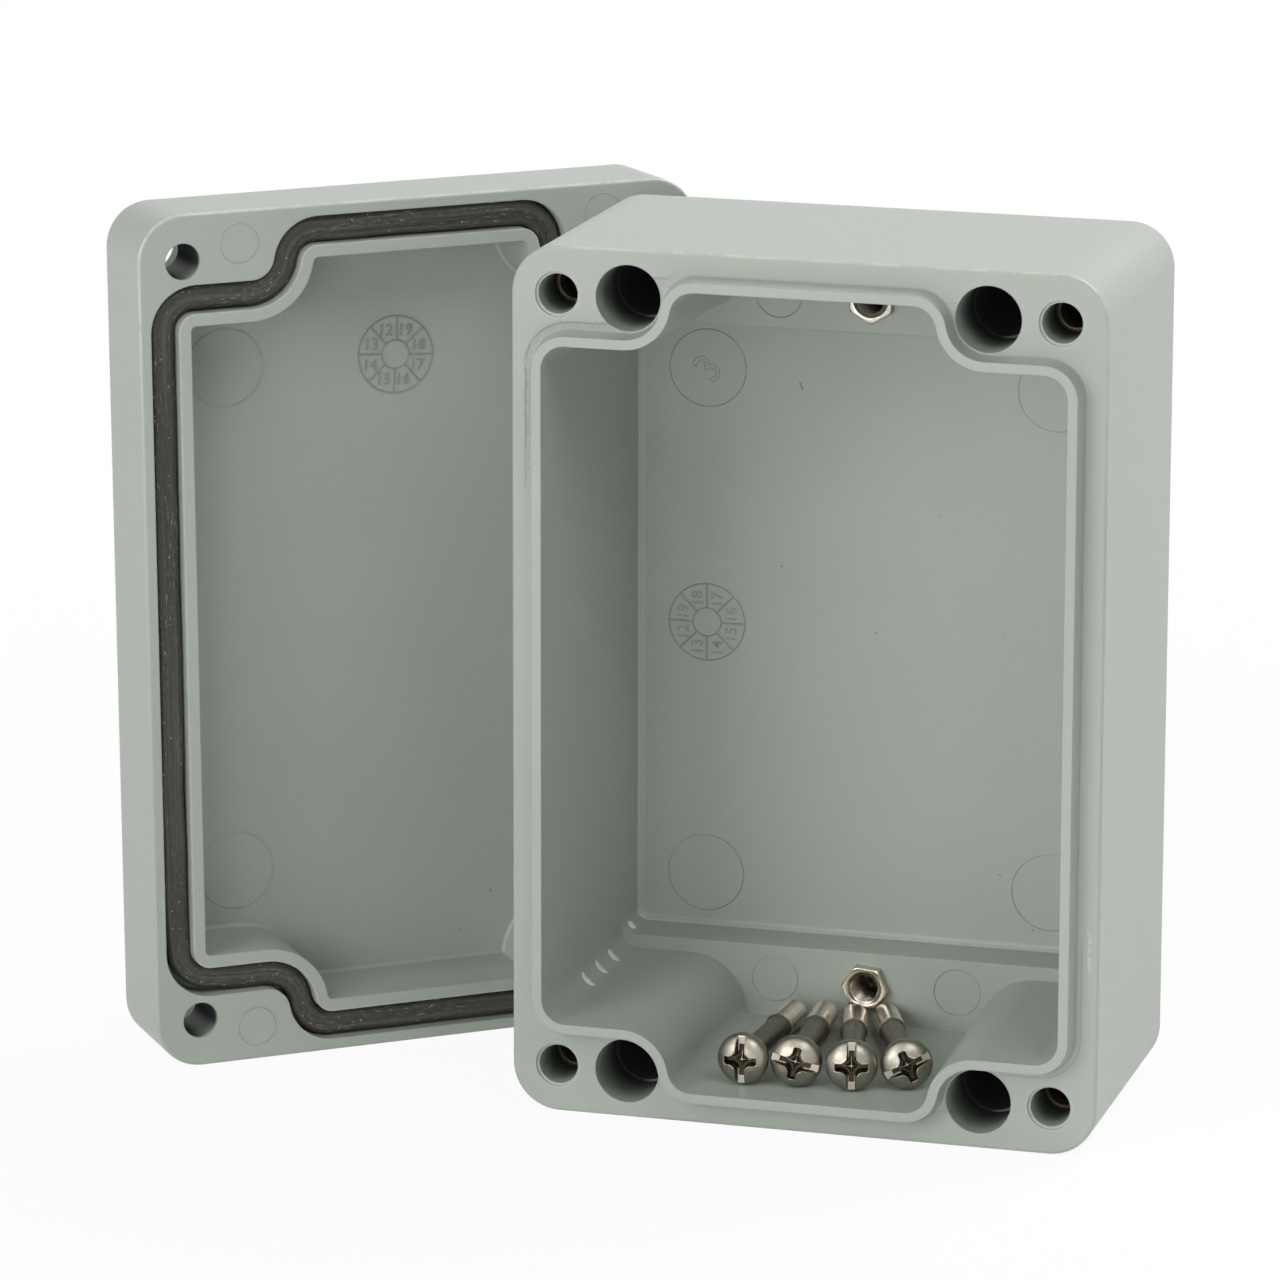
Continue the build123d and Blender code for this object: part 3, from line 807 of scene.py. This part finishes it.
def metal(name, tint, shade, low, high, soft=0.05, stain_and_shade=None, share=0.95, body=1):
    """Turned metal with roughness between low and high in fine patches.

    Where the piece's own finish attribute is above 0 it turns towards its dark colour, for staining and
    painted shade, and where it is below 0 towards a brighter tint, a painted highlight. A body under 1 is a
    dusty film over the metal.
    """
    s, where = new_material(name)
    patch = s.noise(where, 0.9, 4, 0.6)
    colour = s.blend(s.span(patch, 0.3, 0.7), rgba(tint, shade * 0.88), rgba(tint, shade * 1.06))
    if stain_and_shade is not None:
        # Staining and painted shade where the finish attribute is above 0, a painted highlight below 0
        stain_and_painted_light = s.node("ShaderNodeAttribute", attribute_name="finish").outputs["Fac"]
        colour = s.blend(s.span(stain_and_painted_light, 0, -0.6), colour, rgba(tint, shade * 1.4))
        colour = s.blend(s.span(stain_and_painted_light, 0, 1, 0, share, False), colour, rgba(stain_and_shade))
    rough = s.span(s.noise(where, 2.3, 3, 0.6), 0.3, 0.7, low, high, False)
    normal = s.bump(s.noise(where, 5.2), 0.12, 0.02, s.softened(soft) if soft > 0 else None)
    return s.finish(colour, rough, normal, Metallic=body)


def brass_with_painted_light(name, finish, rim):
    """Brass of the deep inserts, darkened as painted shade deep in the holes, with pale lines every 0.55 mm
    of distance from the axis plus depth, painted glints on the thread."""
    s, where = new_material(name, rim)
    reach = s.length(from_nearest(s, where, HOLE_PLACE))
    turns = s.math("PINGPONG", s.math("SUBTRACT", reach, s.parts(where)[2]), 0.275)
    broken = s.span(s.noise(where, 0.6, 3, 0.6), 0.35, 0.6, 0.2, 1)
    painted_glint = s.product(s.span(turns, 0.2, 0.27), broken)
    colour = s.blend(painted_glint, rgba(finish.brass, 0.3), rgba(finish.brass, 1.2))
    return s.finish(colour, s.span(broken, 0, 1, 0.3, 0.45, False), Metallic=1)


# Settings


def colour(name, of, default):
    """Colour of something, for a user to change."""
    return FloatVectorProperty(
        name=name, description="Colour of " + of, default=default, subtype="COLOR", min=0, max=1)


def light(name, place, default):
    """Power of the soft light in a place, for a user to change."""
    description = "Power of the soft light " + place
    return FloatProperty(name=name, description=description, default=default, unit="POWER", min=0)


class EnclosureFinish(PropertyGroup):
    """Colours of the finishes."""

    polyester: colour("Polyester", "the moulded base and lid", (0.399, 0.439, 0.391))
    rubbed_edge: colour("Rubbed edge", "the worn rim edges", (0.72, 0.70, 0.60))
    speck: colour("Speck", "scattered dark specks", (0.10, 0.11, 0.10))
    scuff: colour("Scuff", "the scuff along the tongue", (0.16, 0.17, 0.155))
    bore: colour("Bore", "the bores, deep in where no light comes", (0.012, 0.013, 0.013))
    rubber: colour("Rubber", "the gasket", (0.034, 0.033, 0.026))
    dust: colour("Dust", "dust on the gasket", (0.36, 0.35, 0.31))
    steel: colour("Steel", "the screws", (0.64, 0.60, 0.50))
    rolled: colour("Rolled steel", "the screws' end cylinders", (0.72, 0.64, 0.56))
    # Recess is staining and painted shade in the drive recesses, painted shade in the plate inserts' bores,
    # and the dark painted reflection bands of the screws' ends
    recess: colour("Recess", "stained steel inside the drive recesses", (0.042, 0.031, 0.018))
    nickel: colour("Nickel", "the plated inserts", (0.62, 0.575, 0.49))
    brass: colour("Brass", "the lid-screw inserts", (0.27, 0.235, 0.18))


class EnclosureMarks(PropertyGroup):
    """Sizes of the moulded marks."""

    ridge: FloatProperty(
        name="Ridge height", description="How far the moulded lines stand out, in millimetres",
        default=0.07, min=0.02, max=0.3)
    pin_radius: FloatProperty(
        name="Pin mark radius", description="Radius of the large round ejector marks, in millimetres",
        default=5.0, min=1.0, max=8.0)


class EnclosureStudio(PropertyGroup):
    """Light and floor."""

    back_light: light("Back light", "high behind the case, on the right", 4.8)
    right_light: light("Right light", "high in front, on the right", 1.4)
    left_light: light("Left light", "high in front, on the left", 0.6)
    front_light: light("Front light", "in front, on the left", 2.2)
    low_light: light("Low light", "low in front", 1.0)
    room: FloatProperty(
        name="Room", description="Strength of the even light from all round", default=0.13, min=0)


# Pieces


def dress(node_name, material):
    """Gives a CAD node one material."""
    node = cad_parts[node_name]
    node.data.materials.clear()
    node.data.materials.append(material)


def vertex_values(made, values):
    """Stores one number a vertex, as the piece's finish attribute: staining and painted light."""
    made.data.attributes.new("finish", "FLOAT", "POINT").data.foreach_set("value", values)


class ENCLOSURE_OT_case(Operator):
    """Finish the base and the lid in moulded polyester."""

    bl_idname = "enclosure.case"
    bl_label = "Case"

    def execute(self, context):
        finish = context.scene.enclosure_finish
        dress("base_shell", polyester("polyester_base", finish, BASE_RIM, True))
        dress("lid_shell", polyester("polyester_lid", finish, LID_RIM, False))
        return {"FINISHED"}


class ENCLOSURE_OT_marks(Operator):
    """Add the ejector rings, date dials and moulding marks inside the base and the lid."""

    bl_idname = "enclosure.marks"
    bl_label = "Moulded marks"

    def execute(self, context):
        marks = context.scene.enclosure_marks
        finish = context.scene.enclosure_finish
        ridge, pin = marks.ridge, marks.pin_radius

        def raised(parts, level):
            return [(points + (0, 0, level), faces) for points, faces in parts]

        def rings(places, radius, level, width=0.16):
            return raised([ridge_ring(np.array(place), radius, width, ridge) for place in places], level)

        def add(name, pieces, rim, body, shade, wear=0.0):
            points, faces = joined(pieces)
            line = moulded_line("polyester_" + name, finish, shade, wear)
            made = mesh_object(name, placed(points, rim), faces, False, line)
            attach(made, body)

        # The rings and dials take darker shades that partly paint the shadow along their lines
        floor = -BASE_FLOOR
        pieces = rings([(-22.6, 33.1), (22.7, 32.6), (-22.6, -33.1), (22.75, -32.2)], pin, floor)
        pieces += raised([numeral("3", (-22.7, 33.1), 5.4, 0.06, radians(52), True)], floor)
        pieces += rings([(-11.54, 44.5), (12.39, 44.4), (-11.54, -44.5), (12.39, -44.4)], 3.0, -LEDGE_DEPTH)
        add("base_ejector_marks", pieces, BASE_RIM, "base", 0.72, 0.7)
        pieces = raised(date_dial(np.array((-22.61, 0.0)), pi / 2, 1.6 * ridge), floor)
        add("base_date_dial", pieces, BASE_RIM, "base", 0.74, 0.2)
        scratch = raised([ridge_bar((-10.6, 31.95), (-10.2, 31.0), 0.2, ridge * 0.6)], floor)
        add("base_scratch", scratch, BASE_RIM, "base", 0.5)

        # On the bay's lower left corner, whose drafted radius shrinks with depth
        corner = (OUTLINE_CORNER - OUTLINE_SIDE, OUTLINE_CORNER - OUTLINE_SHELF)
        pieces = []
        for depth in (13.2, 18.6, 23.8):
            radius = OUTLINE_CORNER - (TONGUE_HEIGHT + depth) * tan(WALL_DRAFT)
            pieces.append(spindle(corner, radius, 198, 254, depth, 0.62, 0.22))
        pieces.append(spindle((-30.13, -38.56), 1.6, 200, 252, 31.9, 0.55, 0.32))
        # Painted highlight: the corner ridges take a polyester 1.85 times as bright
        add("base_release_marks", pieces, BASE_RIM, "base", 1.85)

        floor = -LID_FLOOR
        pieces = rings([(-22.5, 32.8), (22.5, 32.8), (-22.5, -33.0), (22.5, -33.0)], pin, floor, 0.34)
        add("lid_ejector_marks", pieces, LID_RIM, "lid", 0.88, 0.6)
        pieces = raised(date_dial(np.array((0.4, 32.7)), radians(-4), 2.8 * ridge), floor)
        add("lid_date_dial", pieces, LID_RIM, "lid", 0.7, 0.1)
        pieces = rings([(-24.1, 50.84), (24.6, 51.1), (-24.0, -50.64), (24.1, -50.9)], 2.5, 0.0, 0.18)
        add("lid_rim_marks", pieces, LID_RIM, "lid", 0.8, 0.4)
        return {"FINISHED"}


class ENCLOSURE_OT_gasket(Operator):
    """Lay the rubber gasket in the lid's groove."""

    bl_idname = "enclosure.gasket"
    bl_label = "Gasket"

    def execute(self, context):
        points, faces, along, across, length = gasket_surface()
        finish = rubber("gasket_rubber", context.scene.enclosure_finish)
        made = mesh_object("gasket_strip", placed(points, LID_RIM), faces.tolist(), True, finish)
        strip = made.data.uv_layers.new(name="strip")
        rows, columns = across.shape
        row = faces // columns
        u = along[row]
        closing = row.max(1, keepdims=True) == rows - 1
        u[(row == 0) & closing] = length
        strip.data.foreach_set("uv", np.stack([u, across.reshape(-1)[faces]], -1).reshape(-1))
        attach(made, "lid")
        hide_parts("gasket")
        return {"FINISHED"}


class ENCLOSURE_OT_screws(Operator):
    """Put the four loose lid screws on the base's lower wall."""

    bl_idname = "enclosure.screws"
    bl_label = "Lid screws"

    def execute(self, context):
        finish = context.scene.enclosure_finish
        # The finish attribute turns heads and ends towards staining, painted shade, painted highlight and
        # painted reflection bands
        head = metal("steel_head", finish.steel, 0.52, 0.3, 0.42, stain_and_shade=finish.recess)
        waist = metal("steel_waist", finish.steel, 0.33, 0.36, 0.5)
        end = metal("steel_end", finish.rolled, 1.0, 0.26, 0.36, stain_and_shade=finish.recess, share=1.0, body=0.88)
        for number, place in enumerate(SCREW_PLACES, start=1):
            lines = 0.06 if number == 1 else 0.02
            points, faces, depth, part = screw_surface(lines, radians(90 - place[3]))
            points = placed(points, screw_frame(*place))
            made = mesh_object(f"lid_screw_{number}_turned", points, faces, True, head, waist, end)
            vertex_values(made, depth)
            made.data.polygons.foreach_set("material_index", part.astype(np.int32))
            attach(made, "base")
            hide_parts(f"lid_screw_{number}")
        return {"FINISHED"}


class ENCLOSURE_OT_inserts(Operator):
    """Make the two hexagonal plate inserts and finish the lid-screw inserts."""

    bl_idname = "enclosure.inserts"
    bl_label = "Inserts"

    def execute(self, context):
        finish = context.scene.enclosure_finish
        # The inserts' bores turn towards the recess colour, a painted shade
        plated = metal("nickel_plate", finish.nickel, 0.95, 0.16, 0.26, 0.0, finish.recess, 0.6)
        for name, turn, side in (("upper", 30.0, 1), ("lower", -5.6, -1)):
            points, faces, bore = insert_surface(turn)
            points = placed(points + (INSERT_X, side * INSERT_Y, -INSERT_TOP_DEPTH), BASE_RIM)
            made = mesh_object(f"plate_insert_{name}_threaded", points, faces, True, plated)
            vertex_values(made, bore)
            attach(made, "base")
            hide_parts(f"plate_insert_{name}")
        # Brass darkened as painted shade deep in the holes, with painted glints on the thread
        brass = brass_with_painted_light("brass_insert", finish, BASE_RIM)
        for number in range(1, 5):
            dress(f"lid_screw_insert_{number}", brass)
        return {"FINISHED"}


# Stage: the floor's half width, the soft lights with their setting, place and side in metres, and the camera
# with its focal length, its turns in degrees and where the base's rim is from it, right, down and forward

FLOOR_REACH = 3000.0
SOFTBOXES = (
    ("back_softbox", "back_light", (0.344, 0.344, 0.613), 0.4),
    ("right_softbox", "right_light", (0.344, -0.384, 0.613), 0.4),
    ("left_softbox", "left_light", (-0.384, -0.384, 0.613), 0.4),
    ("front_softbox", "front_light", (-0.396, -0.671, 0.274), 0.4),
    ("low_softbox", "low_light", (-0.02, -0.81, 0.10), 0.28),
)
LIT_POINT = (-0.02, -0.02, 0.0)
CAMERA_LENS = 210.44
CAMERA_YAW = 16.2096
CAMERA_PITCH = 13.8755
CAMERA_ROLL = 0.1093
RIM_SEEN_AT = (20.0716, 7.6289, 914.1032)


def pale_floor():
    """Square of paper in the plane that the base's drafted lower wall stands on. It takes light as paper, and
    is close to plain white where it is seen."""
    slope = tan(radians(BASE_DRAFT))
    sides = ((-1, -1), (1, -1), (1, 1), (-1, 1))
    corners = np.array([(x * FLOOR_REACH, y * FLOOR_REACH, 0.0) for x, y in sides])
    corners[:, 2] = (corners[:, 1] + BASE_DEPTH) * slope - CASE_LENGTH / 2
    s, where = new_material("floor_paper")
    fibre = s.span(s.noise(where, 0.003), 0.3, 0.7)
    s.finish(s.blend(fibre, (0.86, 0.86, 0.855, 1.0), (0.88, 0.88, 0.875, 1.0)), 0.7)
    white = s.node("ShaderNodeEmission", {"Color": (1.0, 1.0, 1.0, 1.0), "Strength": 1.0}).outputs[0]
    share = s.span(s.length(where), 120.0, 340.0, 0.93, 1.0)
    s.show(s.tree.nodes["Principled BSDF"].outputs[0], white, "Material Output", share)
    floor = mesh_object("studio_floor", corners * MM, [[0, 1, 2, 3]], False, s.owner)


def studio_room(strength):
    """World with an even cool light of that strength, plain white where it is seen."""
    s = Shader(bpy.data.worlds.new("studio_room"))
    back = s.tree.nodes["Background"]
    s.put(back.inputs["Color"], (0.93, 0.98, 1.0, 1.0))
    s.put(back.inputs["Strength"], strength)
    white = s.node("ShaderNodeBackground", {"Color": (1.0, 1.0, 1.0, 1.0), "Strength": 1.0})
    s.show(back.outputs[0], white.outputs[0], "World Output")
    return s.owner


class ENCLOSURE_OT_stage(Operator):
    """Set the pale floor, the soft studio light and the camera."""

    bl_idname = "enclosure.stage"
    bl_label = "Studio"

    def execute(self, context):
        studio = context.scene.enclosure_studio
        scene = context.scene
        pale_floor()
        scene.world = studio_room(studio.room)

        for name, setting, place, side in SOFTBOXES:
            lamp = bpy.data.lights.new(name, "AREA")
            lamp.shape = "SQUARE"
            lamp.size = side
            lamp.energy = getattr(studio, setting)
            holder = bpy.data.objects.new(name, lamp)
            holder.location = place
            holder.rotation_euler = (Vector(LIT_POINT) - Vector(place)).to_track_quat("-Z", "Y").to_euler()
            scene.collection.objects.link(holder)

        camera = bpy.data.cameras.new("camera")
        camera.lens = CAMERA_LENS
        camera.sensor_width = 36.0
        camera.clip_start = 0.01
        camera.clip_end = 10.0
        holder = bpy.data.objects.new("camera", camera)
        scene.collection.objects.link(holder)
        # The view's right, down and forward, first as it looks straight into the case, then turned
        straight = np.array(((1.0, 0.0, 0.0), (0.0, 0.0, -1.0), (0.0, 1.0, 0.0)))
        turns = ((CAMERA_ROLL, "Z"), (CAMERA_PITCH, "X"), (CAMERA_YAW, "Y"))
        roll, pitch, yaw = (Matrix.Rotation(radians(angle), 3, axis) for angle, axis in turns)
        view = np.array(roll @ pitch @ yaw) @ straight
        eye = (BASE_RIM[0] - np.array(RIM_SEEN_AT) @ view) * MM
        right, down, forward = view
        holder.matrix_world = Matrix([*zip(right, -down, -forward, eye), (0.0, 0.0, 0.0, 1.0)])
        scene.camera = holder
        scene.view_settings.view_transform = "Standard"
        return {"FINISHED"}


class ENCLOSURE_PT_panel(Panel):
    """Lists the pieces of the enclosure and their settings."""

    bl_idname = "ENCLOSURE_PT_panel"
    bl_label = "Enclosure"
    bl_space_type = "VIEW_3D"
    bl_region_type = "UI"
    bl_category = "Enclosure"

    def draw(self, context):
        for step in STEPS:
            self.layout.operator(step.bl_idname)
        for group, settings in SETTINGS.items():
            box = self.layout.box()
            for key in settings.__annotations__:
                box.prop(getattr(context.scene, group), key)


SETTINGS = {
    "enclosure_finish": EnclosureFinish,
    "enclosure_marks": EnclosureMarks,
    "enclosure_studio": EnclosureStudio,
}
STEPS = (
    ENCLOSURE_OT_case, ENCLOSURE_OT_marks, ENCLOSURE_OT_gasket,
    ENCLOSURE_OT_screws, ENCLOSURE_OT_inserts, ENCLOSURE_OT_stage,
)


def register():
    """Registers the settings, the operators and the panel."""
    for made in (*SETTINGS.values(), *STEPS, ENCLOSURE_PT_panel):
        bpy.utils.register_class(made)
    for group, settings in SETTINGS.items():
        setattr(bpy.types.Scene, group, PointerProperty(type=settings))


def unregister():
    """Takes the settings, the operators and the panel out again."""
    for group in SETTINGS:
        delattr(bpy.types.Scene, group)
    for made in (ENCLOSURE_PT_panel, *reversed(STEPS), *SETTINGS.values()):
        bpy.utils.unregister_class(made)


def main():
    """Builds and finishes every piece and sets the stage."""
    register()
    bpy.ops.enclosure.case()
    bpy.ops.enclosure.marks()
    bpy.ops.enclosure.gasket()
    bpy.ops.enclosure.screws()
    bpy.ops.enclosure.inserts()
    bpy.ops.enclosure.stage()
    bpy.context.view_layer.update()


if __name__ == "__main__":
    main()
